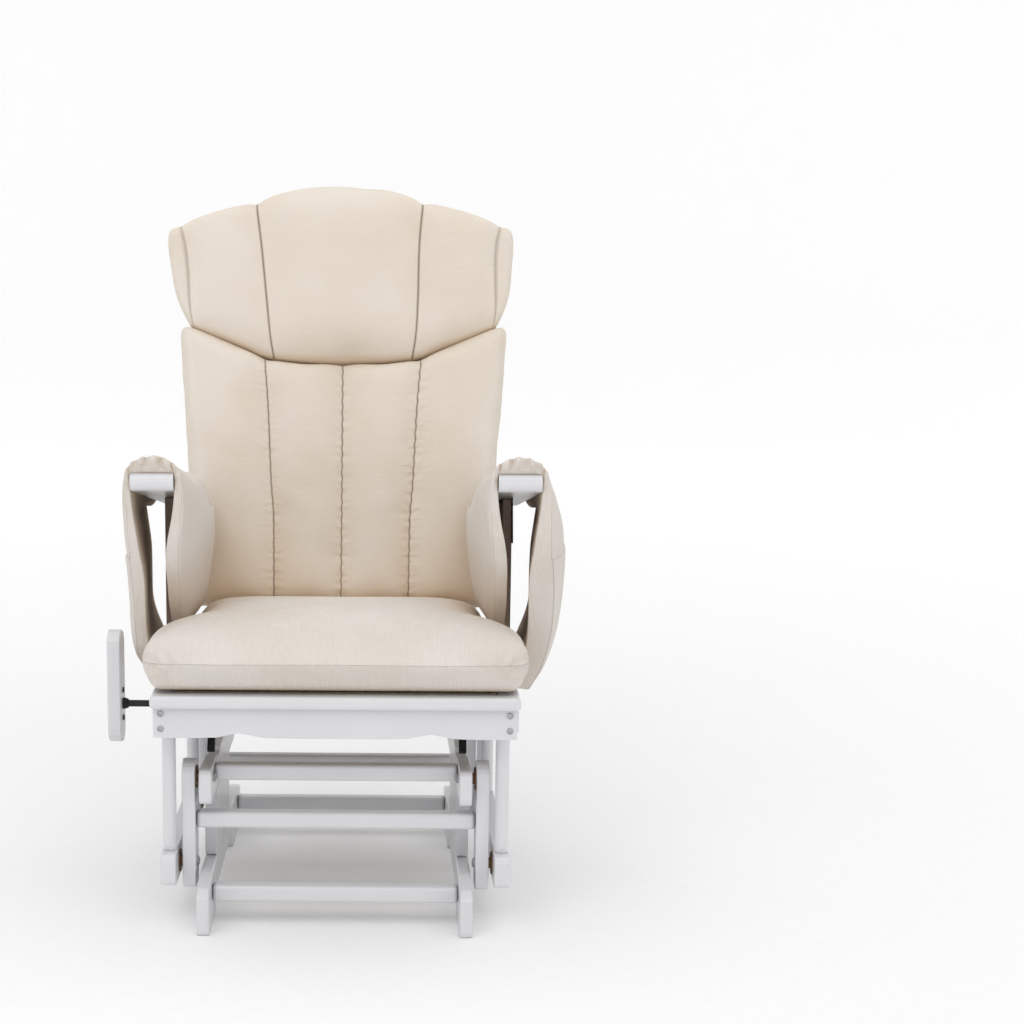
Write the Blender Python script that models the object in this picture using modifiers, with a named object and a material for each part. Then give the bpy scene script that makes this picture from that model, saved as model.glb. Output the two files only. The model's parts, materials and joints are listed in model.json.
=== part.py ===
"""Glider nursery chair: a painted wooden seat that hangs on four links from a footed base.

Metres, +Z up, the sitter faces -Y. The origin is on the floor, under the middle of the whole chair.
The names of left and right pieces are those of someone who looks at the chair's front: left is -X.
"""

import math

import bmesh
import bpy
from mathutils import Vector

GAP = 0.0003  # between pieces that touch

# The whole chair's middle stands this far behind the middle of the floor plan used below.
PLAN_TO_ORIGIN_Y = -0.058

# Base
BASE_X = 0.1855  # middle of a foot, post and glide beam
BASE_BOARD = 0.018
FOOT_FRONT_Y, FOOT_REAR_Y = -0.300, 0.262
FOOT_TOP_Z = 0.074
POST_FRONT_Y, POST_REAR_Y = -0.165, 0.045
BEAM_FRONT_Y, BEAM_REAR_Y = -0.250, 0.150
BEAM_BOTTOM_Z, BEAM_TOP_Z = 0.175, 0.226
BAR = 0.024  # height of every cross bar

# Links
LINK_X, LINK_THICK, LINK_WIDE = 0.2110, 0.019, 0.044
LINK_BOTTOM_Z, LINK_TOP_Z = 0.047, 0.235
FRONT_PIVOT_Y, REAR_PIVOT_Y = -0.213, 0.105
UPPER_PIVOT_Z, LOWER_PIVOT_Z = 0.208, 0.082
CROSSBAR_Z = 0.146
PIN_RADIUS = 0.004

# Seat frame
RUNNER_X, RUNNER_THICK = 0.2375, 0.022
RUNNER_BOTTOM_Z, RUNNER_TOP_Z = 0.061, 0.108
RUNNER_FRONT_Y, RUNNER_REAR_Y = -0.270, 0.205
SPINDLE_RADIUS, SPINDLE_YS = 0.0098, (-0.240, 0.070, 0.185)
RAIL_BOTTOM_Z, RAIL_TOP_Z = 0.285, 0.343
RAIL_INNER_X, RAIL_OUTER_X = 0.2265, 0.2585
RAIL_FRONT_Y, RAIL_REAR_Y = -0.2552, 0.205
APRON_HALF, APRON_BOTTOM_Z = 0.2545, 0.2815
LIP_FRONT_Y, LIP_BOTTOM_Z = -0.291, 0.3245
DECK_THICK = 0.014

# Arms
ARM_X, ARM_WIDE, ARM_THICK = 0.2545, 0.060, 0.025
ARM_FRONT_Y, ARM_FRONT_Z, ARM_LENGTH = -0.262, 0.6405, 0.425
ARM_SLOPE = math.radians(9.1)
ARM_POST_X, ARM_POST_THICK = 0.2505, 0.014
ARM_POST_FRONT_Y, ARM_POST_REAR_Y = -0.090, 0.110

# Back: its frame turns about a point at the foot of its front plane
BACK_Y, BACK_Z, BACK_LEAN = 0.222, 0.395, math.radians(16)
STILE_X, STILE_WIDE, STILE_THICK = 0.205, 0.042, 0.022
STILE_LOW, STILE_HIGH = -0.098, 0.640
SLAT_WIDE, SLAT_COUNT = 0.044, 5

# Cushions and arm pads
CUSHION_DEEP = 0.090
SEAT_PAD_THICK = 0.076
CUSHION_EDGE = 0.012
PAD_FRONT_Y, PAD_LENGTH = -0.250, 0.375
PAD_INNER_X, PAD_OUTER_X = 0.2125, 0.3270
PAD_THICK = 0.025
PAD_INNER_Z, PAD_OUTER_Z, PAD_TOP_Z = 0.385, 0.325, 0.679

# Glide lock
LOCK_Y, LOCK_Z = -0.120, 0.2935
LOCK_SHAFT_RADIUS = 0.0050
LOCK_TRAVEL = math.radians(34)
PAWL_X, PAWL_THICK, PAWL_REACH, PAWL_TIP = 0.1850, 0.011, 0.074, 0.010
PADDLE_X, PADDLE_THICK = -0.3300, 0.020


def clear_scene():
    for obj in list(bpy.data.objects):
        bpy.data.objects.remove(obj, do_unlink=True)


def new_collection(name, hidden=False):
    collection = bpy.data.collections.new(name)
    bpy.context.scene.collection.children.link(collection)
    collection.hide_render = hidden
    return collection


def material(name, color, roughness, metallic=0.0):
    made = bpy.data.materials.new(name)
    made.use_nodes = True
    shader = made.node_tree.nodes["Principled BSDF"]
    shader.inputs["Base Color"].default_value = (*color, 1.0)
    shader.inputs["Roughness"].default_value = roughness
    shader.inputs["Metallic"].default_value = metallic
    made.diffuse_color = (*color, 1.0)
    return made


clear_scene()
CHAIR = new_collection("glider_nursery_chair")
CUTTERS = new_collection("cutters", hidden=True)

# Each sub-part takes a copy of one of these finishes: colour, roughness, metallic
FINISHES = {
    "white_paint": ((0.80, 0.80, 0.82), 0.35, 0.0),
    "board": ((0.45, 0.34, 0.23), 0.60, 0.0),
    "brown_board": ((0.16, 0.11, 0.085), 0.60, 0.0),
    "cream_fabric": ((0.75, 0.66, 0.54), 0.90, 0.0),
    "steel": ((0.45, 0.45, 0.46), 0.35, 1.0),
    "bearing": ((0.30, 0.17, 0.09), 0.45, 0.6),
    "black_steel": ((0.02, 0.02, 0.022), 0.45, 0.8),
}

ORIGIN = bpy.data.objects.new("chair_plan", None)
ORIGIN.location = (0.0, PLAN_TO_ORIGIN_Y, 0.0)
CHAIR.objects.link(ORIGIN)

BACK_FRAME = bpy.data.objects.new("back_frame", None)
BACK_FRAME.location = (0.0, BACK_Y, BACK_Z)
BACK_FRAME.rotation_euler = (-BACK_LEAN, 0.0, 0.0)
BACK_FRAME.parent = ORIGIN
CHAIR.objects.link(BACK_FRAME)


def place(name, data, finish, location=(0, 0, 0), rotation=(0, 0, 0), parent=None, cutter=False):
    obj = bpy.data.objects.new(name, data)
    obj.parent = parent or ORIGIN
    obj.location = location
    obj.rotation_euler = rotation
    if cutter:
        obj.hide_render = True
        obj.display_type = "WIRE"
        CUTTERS.objects.link(obj)
    else:
        data.materials.append(material(name, *FINISHES[finish]))
        CHAIR.objects.link(obj)
    return obj


def soften(obj, width, segments=2, angle=35):
    bevel = obj.modifiers.new("rounded edges", "BEVEL")
    bevel.width = width
    bevel.segments = segments
    bevel.limit_method = "ANGLE"
    bevel.angle_limit = math.radians(angle)
    bevel.use_clamp_overlap = True
    return obj


def block(name, low, high, finish, bevel=0.002, segments=2, **placing):
    """A box between two corners."""
    low, high = Vector(low), Vector(high)
    shape = bmesh.new()
    bmesh.ops.create_cube(shape, size=1.0)
    bmesh.ops.scale(shape, vec=high - low, verts=shape.verts)
    mesh = bpy.data.meshes.new(name)
    shape.to_mesh(mesh)
    shape.free()
    obj = place(name, mesh, finish, location=(low + high) / 2, **placing)
    return soften(obj, bevel, segments) if bevel else obj


def outline_data(name, points, thick, openings=()):
    """A flat closed outline with straight sides; each of `openings` is the outline of a hole in it."""
    curve = bpy.data.curves.new(name, "CURVE")
    curve.dimensions = "2D"
    curve.fill_mode = "BOTH"
    curve.extrude = thick / 2
    for outline in (points, *openings):
        spline = curve.splines.new("POLY")
        spline.points.add(len(outline) - 1)
        spline.use_cyclic_u = True
        for knot, (x, y) in zip(spline.points, outline):
            knot.co = (x, y, 0.0, 1.0)
    return curve


SIDE_VIEW = (math.pi / 2, 0.0, math.pi / 2)  # an outline's x, y become the chair's Y, Z
FRONT_VIEW = (math.pi / 2, 0.0, 0.0)  # an outline's x, y become the chair's X, Z


def board(name, points, thick, finish, middle, view, bevel=0.002, segments=1, openings=(), parent=None):
    """A board cut to an outline, with its middle plane at the location `middle`."""
    curve = outline_data(name, points, thick, openings)
    obj = place(name, curve, finish, location=middle, rotation=view, parent=parent)
    weld = obj.modifiers.new("joined caps", "WELD")
    weld.merge_threshold = 0.0001
    return soften(obj, bevel, segments)


def as_mesh(obj):
    """The same piece as a plain mesh, so that it can be cut or joined."""
    bpy.context.view_layer.update()
    graph = bpy.context.evaluated_depsgraph_get()
    mesh = bpy.data.meshes.new_from_object(obj.evaluated_get(graph), depsgraph=graph)
    shape = bmesh.new()
    shape.from_mesh(mesh)
    bmesh.ops.remove_doubles(shape, verts=shape.verts, dist=0.00005)
    bmesh.ops.recalc_face_normals(shape, faces=shape.faces)
    shape.to_mesh(mesh)
    shape.free()
    name, parent = obj.name, obj.parent
    location, rotation = obj.location.copy(), obj.rotation_euler.copy()
    collection = obj.users_collection[0]
    bpy.data.objects.remove(obj, do_unlink=True)
    made = bpy.data.objects.new(name, mesh)
    made.parent, made.location, made.rotation_euler = parent, location, rotation
    collection.objects.link(made)
    return made


def cylinder(name, radius, depth, finish, location, rotation=(0, math.pi / 2, 0), sides=24, **placing):
    """A round bar, along X unless it is turned."""
    shape = bmesh.new()
    bmesh.ops.create_cone(
        shape, cap_ends=True, segments=sides, radius1=radius, radius2=radius, depth=depth
    )
    mesh = bpy.data.meshes.new(name)
    shape.to_mesh(mesh)
    shape.free()
    mesh.shade_smooth()
    mesh.set_sharp_from_angle(angle=math.radians(40))
    return place(name, mesh, finish, location=location, rotation=rotation, **placing)


def turned(name, profile, finish, location, rotation=(0, 0, 0), sides=24, **placing):
    """A turned piece: `profile` is (radius, height) from the top down its outer side."""
    shape = bmesh.new()
    corners = [shape.verts.new((radius, 0.0, height)) for radius, height in profile]
    for start, end in zip(corners, corners[1:]):
        shape.edges.new((start, end))
    mesh = bpy.data.meshes.new(name)
    shape.to_mesh(mesh)
    shape.free()
    obj = place(name, mesh, finish, location=location, rotation=rotation, **placing)
    screw = obj.modifiers.new("turned", "SCREW")
    screw.steps = screw.render_steps = sides
    screw.use_merge_vertices = True
    screw.merge_threshold = 0.00005
    screw.use_smooth_shade = True
    return obj


def rectangle(left, low, right, high):
    return [(left, low), (right, low), (right, high), (left, high)]


def mirrored(right_half):
    return [(-x, z) for x, z in reversed(right_half)]


def boolean(obj, cutter, operation="DIFFERENCE"):
    cut = obj.modifiers.new(operation.lower(), "BOOLEAN")
    cut.operation = operation
    cut.object = cutter
    return obj


def each_side():
    return (("left", -1), ("right", 1))


def arc(centre, radius, start, end, steps):
    """Points on an arc in an outline's own plane; angles in degrees."""
    angles = [math.radians(start + (end - start) * i / steps) for i in range(steps + 1)]
    return [(centre[0] + radius * math.cos(a), centre[1] + radius * math.sin(a)) for a in angles]


# ---------------------------------------------------------------- base


def foot_outline():
    """Low nose at both ends, a flat top for the post, and an arch under the middle."""
    nose, shoulder = 0.056, 0.048
    arch_front, arch_rear, arch_high = -0.197, 0.100, 0.030
    slope = FOOT_TOP_Z - 0.002
    return [
        (FOOT_FRONT_Y, 0.0),
        (arch_front, 0.0),
        (arch_front + 0.025, arch_high),
        (arch_rear - 0.025, arch_high),
        (arch_rear, 0.0),
        (FOOT_REAR_Y, 0.0),
        (FOOT_REAR_Y, nose),
        (FOOT_REAR_Y - 0.014, nose + 0.009),
        (FOOT_REAR_Y - shoulder, slope),
        (FOOT_REAR_Y - shoulder - 0.012, FOOT_TOP_Z),
        (FOOT_FRONT_Y + shoulder + 0.012, FOOT_TOP_Z),
        (FOOT_FRONT_Y + shoulder, slope),
        (FOOT_FRONT_Y + 0.014, nose + 0.009),
        (FOOT_FRONT_Y, nose),
    ]


def beam_outline():
    """A glide beam, round at its ends, with a notch in its top edge that slopes where the pawl swings in."""
    round_end, notch_floor = 0.010, LOCK_Z - PAWL_REACH - 0.0018
    low, high = BEAM_BOTTOM_Z, BEAM_TOP_Z
    front = arc((BEAM_FRONT_Y + round_end, low + round_end), round_end, 180, 270, 3)
    rear = arc((BEAM_REAR_Y - round_end, low + round_end), round_end, 270, 360, 3)
    rear += arc((BEAM_REAR_Y - round_end, high - round_end), round_end, 0, 90, 3)
    notch = [
        (LOCK_Y + 0.012, high), (LOCK_Y + 0.011, notch_floor),
        (LOCK_Y - 0.017, notch_floor), (LOCK_Y - 0.037, high),
    ]
    top = arc((BEAM_FRONT_Y + round_end, high - round_end), round_end, 90, 180, 3)
    return front + rear + notch + top


def make_base():
    for side, sign in each_side():
        board(f"foot_{side}", foot_outline(), BASE_BOARD, "white_paint",
              (sign * BASE_X, 0, 0), SIDE_VIEW)
        block(
            f"post_{side}",
            (sign * BASE_X - BASE_BOARD / 2, POST_FRONT_Y, FOOT_TOP_Z + GAP),
            (sign * BASE_X + BASE_BOARD / 2, POST_REAR_Y, BEAM_BOTTOM_Z - GAP),
            "white_paint",
        )
        board(f"glide_beam_{side}", beam_outline(), BASE_BOARD, "white_paint",
              (sign * BASE_X, 0, 0), SIDE_VIEW, bevel=0.0015)
    half = BASE_X - BASE_BOARD / 2 - GAP
    for name, y, z in (
        ("foot_stretcher_front", -0.243, 0.046),
        ("foot_stretcher_rear", 0.205, 0.046),
        ("beam_stretcher", -0.192, 0.211),
    ):
        block(name, (-half, y - BAR / 2, z - BAR / 2), (half, y + BAR / 2, z + BAR / 2),
              "white_paint", bevel=0.005, segments=3)


# ---------------------------------------------------------------- links and pivots


def link_outline(pivot_y):
    """A link with a fully rounded top, seen from the side."""
    half = LINK_WIDE / 2
    top = arc((pivot_y, LINK_TOP_Z - half), half, 0, 180, 10)
    low_round = 0.008
    low = arc((pivot_y - half + low_round, LINK_BOTTOM_Z + low_round), low_round, 180, 270, 3)
    low += arc((pivot_y + half - low_round, LINK_BOTTOM_Z + low_round), low_round, 270, 360, 3)
    return top + low


def bore(name, radius, x, y, z, depth):
    return cylinder(name, radius, depth, None, (x, y, z), sides=20, cutter=True)


def make_links(end, pivot_y):
    for side, sign in each_side():
        link = as_mesh(board(f"{end}_link_{side}", link_outline(pivot_y), LINK_THICK,
                             "white_paint", (sign * LINK_X, 0, 0), SIDE_VIEW, bevel=0.0015))
        hole = bore(f"{end}_link_{side}_pin_hole", PIN_RADIUS + GAP,
                    sign * LINK_X, pivot_y, LOWER_PIVOT_Z, 0.05)
        boolean(link, hole)
        make_upper_pivot(f"{end}_{side}", sign, pivot_y)
        make_lower_pivot(f"{end}_{side}", sign, pivot_y)
    half = LINK_X - LINK_THICK / 2 - GAP
    block(f"{end}_link_crossbar",
          (-half, pivot_y - BAR / 2, CROSSBAR_Z - BAR / 2),
          (half, pivot_y + BAR / 2, CROSSBAR_Z + BAR / 2),
          "white_paint", bevel=0.005, segments=3)


def bearing_profile(thick):
    """A flanged bearing plate with a raised hub that the pin turns in."""
    outer, hub, hole = 0.0165, 0.008, PIN_RADIUS + GAP
    plate = 0.0018
    return [
        (hole, thick), (hub, thick), (hub, plate), (outer - 0.001, plate),
        (outer, plate - 0.0006), (outer, 0.0), (hole, 0.0), (hole, thick),
    ]


def pin_profile(length, head_radius=0.0072, head=0.0035):
    """A shouldered bolt: a domed head, then its shank."""
    return [
        (0.0, head), (head_radius * 0.6, head), (head_radius, head * 0.45), (head_radius, 0.0),
        (PIN_RADIUS, 0.0), (PIN_RADIUS, -length), (0.0, -length),
    ]


def facing(sign):
    """Turns a piece's own +Z to the chair's +X or -X."""
    return (0.0, sign * math.pi / 2, 0.0)


def make_upper_pivot(where, sign, pivot_y):
    """The bolt runs through the glide beam, head inside, into the bearing on the link."""
    beam_inner = BASE_X - BASE_BOARD / 2
    link_inner = LINK_X - LINK_THICK / 2
    turned(f"upper_pivot_bolt_{where}", pin_profile(link_inner - beam_inner - 0.0006), "steel",
           (sign * (beam_inner - GAP), pivot_y, UPPER_PIVOT_Z), facing(-sign))
    turned(f"upper_bearing_{where}", bearing_profile(0.0060), "bearing",
           (sign * (link_inner - GAP), pivot_y, UPPER_PIVOT_Z), facing(-sign))


def make_lower_pivot(where, sign, pivot_y):
    """The bolt runs through the link, head inside, into the bearing on the runner."""
    link_inner = LINK_X - LINK_THICK / 2
    runner_inner = RUNNER_X - RUNNER_THICK / 2
    turned(f"lower_pivot_bolt_{where}", pin_profile(runner_inner - link_inner - 0.0006), "steel",
           (sign * (link_inner - GAP), pivot_y, LOWER_PIVOT_Z), facing(-sign))
    turned(f"lower_bearing_{where}", bearing_profile(0.0050), "bearing",
           (sign * (runner_inner - GAP), pivot_y, LOWER_PIVOT_Z), facing(-sign))


def drill_glide_beams():
    """Bores for the upper pivot bolts."""
    for side, sign in each_side():
        beam = as_mesh(bpy.data.objects[f"glide_beam_{side}"])
        for end, pivot_y in (("front", FRONT_PIVOT_Y), ("rear", REAR_PIVOT_Y)):
            boolean(beam, bore(f"glide_beam_{side}_{end}_hole", PIN_RADIUS + GAP,
                               sign * BASE_X, pivot_y, UPPER_PIVOT_Z, 0.05))


# ---------------------------------------------------------------- seat frame


def runner_outline():
    low, high, radius = RUNNER_BOTTOM_Z, RUNNER_TOP_Z, 0.009
    front, rear = RUNNER_FRONT_Y + radius, RUNNER_REAR_Y - radius
    corners = (
        ((front, low + radius), 180), ((rear, low + radius), 270),
        ((rear, high - radius), 0), ((front, high - radius), 90),
    )
    return [p for centre, start in corners for p in arc(centre, radius, start, start + 90, 3)]


def apron_outline():
    """A board whose lower edge lifts into a low wave near each end."""
    top, low = LIP_BOTTOM_Z - GAP, APRON_BOTTOM_Z
    wave = [(0.196, low), (0.165, low + 0.001), (0.135, low + 0.0075), (0.100, low + 0.001), (0.06, low)]
    left = [(-x, z) for x, z in wave]
    right = [(x, z) for x, z in reversed(wave)]
    corner = APRON_HALF
    return [(-corner, low), *left, *right, (corner, low), (corner, top), (-corner, top)]


def make_seat_frame():
    for side, sign in each_side():
        board(f"runner_{side}", runner_outline(), RUNNER_THICK, "white_paint",
              (sign * RUNNER_X, 0, 0), SIDE_VIEW)
        for number, y in enumerate(SPINDLE_YS, 1):
            length = RAIL_BOTTOM_Z - RUNNER_TOP_Z - 2 * GAP
            cylinder(f"spindle_{side}_{number}", SPINDLE_RADIUS, length, "white_paint",
                     (sign * RUNNER_X, y, (RAIL_BOTTOM_Z + RUNNER_TOP_Z) / 2), rotation=(0, 0, 0))
        inner, outer = sorted((sign * RAIL_INNER_X, sign * RAIL_OUTER_X))
        rail = block(f"seat_side_rail_{side}", (inner, RAIL_FRONT_Y, RAIL_BOTTOM_Z),
                     (outer, RAIL_REAR_Y, RAIL_TOP_Z), "white_paint", bevel=0.003)
        if side == "left":
            boolean(rail, bore("lock_shaft_bore", LOCK_SHAFT_RADIUS + GAP,
                               sign * RUNNER_X, LOCK_Y, LOCK_Z, 0.08))
    board("apron", apron_outline(), 0.022, "white_paint", (0, -0.2680, 0), FRONT_VIEW, bevel=0.0015)
    block("front_rail", (-RAIL_OUTER_X, LIP_FRONT_Y, LIP_BOTTOM_Z),
          (RAIL_OUTER_X, RAIL_FRONT_Y - GAP, RAIL_TOP_Z), "white_paint", bevel=0.006, segments=3)
    inside = RAIL_INNER_X - GAP
    block("rear_rail", (-inside, 0.165, RAIL_BOTTOM_Z), (inside, 0.187, RAIL_TOP_Z), "white_paint")
    block("seat_deck", (-inside, RAIL_FRONT_Y + GAP, RAIL_TOP_Z - DECK_THICK),
          (inside, 0.165 - GAP, RAIL_TOP_Z), "board", bevel=0.0015)


def arm_underside_z(y):
    """Height of an arm's underside at a distance y, on its slope down towards the back."""
    front = ARM_FRONT_Z - ARM_THICK / 2 / math.cos(ARM_SLOPE)
    return front - (y - ARM_FRONT_Y) * math.tan(ARM_SLOPE)


def arm_outline():
    """A board with fully rounded ends, on its slope."""
    radius = ARM_THICK / 2
    slope = math.degrees(ARM_SLOPE)
    front, rear = (
        (ARM_FRONT_Y + along * math.cos(ARM_SLOPE), ARM_FRONT_Z - along * math.sin(ARM_SLOPE))
        for along in (radius, ARM_LENGTH - radius)
    )
    return arc(front, radius, 90 - slope, 270 - slope, 10) + arc(rear, radius, 270 - slope, 450 - slope, 10)


def make_arms():
    for side, sign in each_side():
        board(f"arm_{side}", arm_outline(), ARM_WIDE, "white_paint", (sign * ARM_X, 0, 0), SIDE_VIEW,
              bevel=0.0025, segments=2)
        front, rear, foot = ARM_POST_FRONT_Y, ARM_POST_REAR_Y, RAIL_TOP_Z + GAP
        post = [
            (front, foot), (rear, foot), (rear, arm_underside_z(rear) - 2 * GAP),
            (front, arm_underside_z(front) - 2 * GAP),
        ]
        board(f"arm_post_{side}", post, ARM_POST_THICK, "brown_board",
              (sign * ARM_POST_X, 0, 0), SIDE_VIEW, bevel=0.0015)


def make_back_frame():
    for side, sign in each_side():
        inner, outer = sorted((sign * (STILE_X - STILE_WIDE / 2), sign * (STILE_X + STILE_WIDE / 2)))
        block(f"back_stile_{side}", (inner, GAP, STILE_LOW), (outer, STILE_THICK, STILE_HIGH),
              "white_paint", bevel=0.004, parent=BACK_FRAME)
    inside = STILE_X - STILE_WIDE / 2 - GAP
    rail_low = STILE_HIGH - 0.075
    block("back_top_rail", (-inside, 0.001, rail_low), (inside, 0.020, STILE_HIGH - 0.005),
          "white_paint", bevel=0.004, parent=BACK_FRAME)
    low, high = 0.010, rail_low - GAP
    border = 0.030
    opening_wide = (2 * (inside - border) - SLAT_COUNT * SLAT_WIDE) / (SLAT_COUNT + 1)
    lefts = [border - inside + i * (SLAT_WIDE + opening_wide) for i in range(SLAT_COUNT + 1)]
    openings = [rectangle(x, low + border, x + opening_wide, high - border) for x in lefts]
    board("back_slats", rectangle(-inside, low, inside, high), 0.010, "white_paint",
          (0, 0.009, 0), FRONT_VIEW, bevel=0.0015, openings=openings, parent=BACK_FRAME)


# ---------------------------------------------------------------- cushions and pads


def seat_cushion_outline():
    """A seat pad with ears in front of the arm pads, seen from above."""
    ear, body, rear = 0.270, 0.211, 0.145
    right = [
        (0.255, -0.280), (ear, -0.262), (ear, -0.185), (ear - 0.015, -0.162), (body + 0.008, -0.155),
        (body, -0.148), (body, rear - 0.015), (body - 0.015, rear),
    ]
    return right + mirrored(right)


# Right half of the line where the head cushion meets the back cushion, from its outer end inwards
HEAD_BOTTOM = [(0.262, 0.4565), (0.228, 0.447), (0.190, 0.432), (0.150, 0.411), (0.115, 0.397), (0.060, 0.386)]
HEAD_LOWEST_Z = 0.3820


def head_cushion_outline():
    """Wider than the back cushion, with a low peak at the top and a bow at the bottom."""
    side = [
        (0.274, 0.474), (0.282, 0.500), (0.286, 0.530), (0.286, 0.568), (0.284, 0.600), (0.276, 0.622),
        (0.250, 0.636), (0.195, 0.650), (0.140, 0.662), (0.070, 0.677),
    ]
    right = [(0.0, HEAD_LOWEST_Z), *reversed(HEAD_BOTTOM), *side]
    return [*right, (0.0, 0.6860), *mirrored(right[1:])]


def back_cushion_outline():
    space = 0.003
    right = [(0.243, 0.0), (0.252, 0.25), *((x, z - space) for x, z in HEAD_BOTTOM)]
    return [*right, (0.0, HEAD_LOWEST_Z - space), *mirrored(right)]


def make_cushions():
    board("seat_cushion", seat_cushion_outline(), SEAT_PAD_THICK, "cream_fabric",
          (0, 0, RAIL_TOP_Z + GAP + SEAT_PAD_THICK / 2), (0, 0, 0), bevel=CUSHION_EDGE, segments=3)
    middle = (0, -CUSHION_DEEP / 2 - 2 * GAP, 0)
    outlines = {"back_cushion": back_cushion_outline(), "head_cushion": head_cushion_outline()}
    for name, points in outlines.items():
        board(name, points, CUSHION_DEEP, "cream_fabric", middle, FRONT_VIEW,
              bevel=CUSHION_EDGE, segments=3, parent=BACK_FRAME)


def arm_pad_outline(sign):
    """A saddle over the arm, seen from the front: inner panel, top and a longer outer panel."""
    inner, outer, thick = PAD_INNER_X, PAD_OUTER_X, PAD_THICK
    arm_in, arm_out = ARM_X - ARM_WIDE / 2 - 0.001, ARM_X + ARM_WIDE / 2 + 0.001
    above_arm = ARM_FRONT_Z + ARM_THICK / 2 + 0.003
    low_outer = outer - 0.028
    points = [
        (inner, PAD_INNER_Z), (inner, PAD_TOP_Z - 0.030), (inner + 0.012, PAD_TOP_Z - 0.008),
        (inner + 0.034, PAD_TOP_Z), (outer - 0.034, PAD_TOP_Z), (outer - 0.012, PAD_TOP_Z - 0.008),
        (outer, PAD_TOP_Z - 0.034), (outer, 0.560), (low_outer, PAD_OUTER_Z + 0.03),
        (low_outer - 0.004, PAD_OUTER_Z), (low_outer - thick + 0.006, PAD_OUTER_Z),
        (low_outer - thick + 0.004, PAD_OUTER_Z + 0.03), (arm_out, 0.560),
        (arm_out, above_arm), (arm_in, above_arm), (arm_in, 0.590),
        (inner + thick, 0.560), (inner + thick, PAD_INNER_Z),
    ]
    return [(sign * x, z) for x, z in (points if sign > 0 else reversed(points))]


def make_arm_pads():
    """The top follows the arm's slope; the front edges fall back a little towards the seat."""
    slope, lean, bend_z = math.tan(ARM_SLOPE), 0.85, 0.54
    front_y = PAD_FRONT_Y + 0.001
    for side, sign in each_side():
        pad = board(f"arm_pad_{side}", arm_pad_outline(sign), PAD_LENGTH, "cream_fabric",
                    (0, PAD_FRONT_Y + PAD_LENGTH / 2, 0), FRONT_VIEW, bevel=0.005)
        pad = as_mesh(pad)
        for corner in pad.data.vertices:
            behind = PAD_LENGTH / 2 - corner.co.z  # the outline's own z points to the front
            if corner.co.y > bend_z:
                corner.co.y -= slope * behind
            elif PAD_FRONT_Y + behind < front_y + 0.006:
                corner.co.z -= lean * (bend_z - corner.co.y)


# ---------------------------------------------------------------- glide lock


def pawl_outline():
    """A pawl that hangs straight down from the shaft."""
    half = PAWL_TIP / 2
    return [*arc((0, 0), 0.011, -15, 195, 8), (-half, -PAWL_REACH), (half, -PAWL_REACH)]


def turned_back(point, angle):
    """An outline's point before the shaft turns by this angle."""
    y, z = point
    return (y * math.cos(angle) + z * math.sin(angle), z * math.cos(angle) - y * math.sin(angle))


def make_lock():
    """A shaft across the seat with a pawl over each glide beam; the paddle outside turns both.

    The pawls stand clear of the beams at rest. Turned down, they drop into the beams' notches.
    """
    reach_x = PAWL_X + PAWL_THICK
    length = reach_x - PADDLE_X - PADDLE_THICK / 2 - GAP
    shaft = cylinder("lock_shaft", LOCK_SHAFT_RADIUS, length, "black_steel",
                     (reach_x - length / 2, LOCK_Y, LOCK_Z), sides=20)
    collar_x = PADDLE_X + PADDLE_THICK / 2 + GAP
    collar = turned("lock_shaft_collar",
                    [(0.0, 0.003), (0.0085, 0.003), (0.0085, 0.0), (0.0065, -0.005), (0.0, -0.005)],
                    None, (collar_x + 0.003, LOCK_Y, LOCK_Z), facing(-1), sides=20, cutter=True)
    boolean(shaft, collar, "UNION")
    leaning = [turned_back(point, LOCK_TRAVEL) for point in pawl_outline()]
    for side, sign in each_side():
        pawl = place(f"lock_pawl_{side}", outline_data(f"lock_pawl_{side}", leaning, PAWL_THICK), None,
                     (sign * PAWL_X, LOCK_Y, LOCK_Z), SIDE_VIEW, cutter=True)
        boolean(shaft, as_mesh(pawl), "UNION")
    upper, lower, wide = 0.112, 0.058, 0.023
    paddle = arc((LOCK_Y, LOCK_Z + upper - wide), wide, 0, 180, 8)
    paddle += arc((LOCK_Y, LOCK_Z - lower + wide), wide, 180, 360, 8)
    board("lock_lever", paddle, PADDLE_THICK, "white_paint", (PADDLE_X, 0, 0), SIDE_VIEW, bevel=0.004)


def main():
    make_base()
    make_links("front", FRONT_PIVOT_Y)
    make_links("rear", REAR_PIVOT_Y)
    drill_glide_beams()
    make_seat_frame()
    make_arms()
    make_back_frame()
    make_cushions()
    make_arm_pads()
    make_lock()


main()
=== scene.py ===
"""Looks of the glider nursery chair: camera, light, materials, soft pieces and small hardware.

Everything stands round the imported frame. Lengths are metres.
"""

import json
import math

import bmesh
import bpy
import numpy as np
from mathutils import Matrix, Vector


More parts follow.
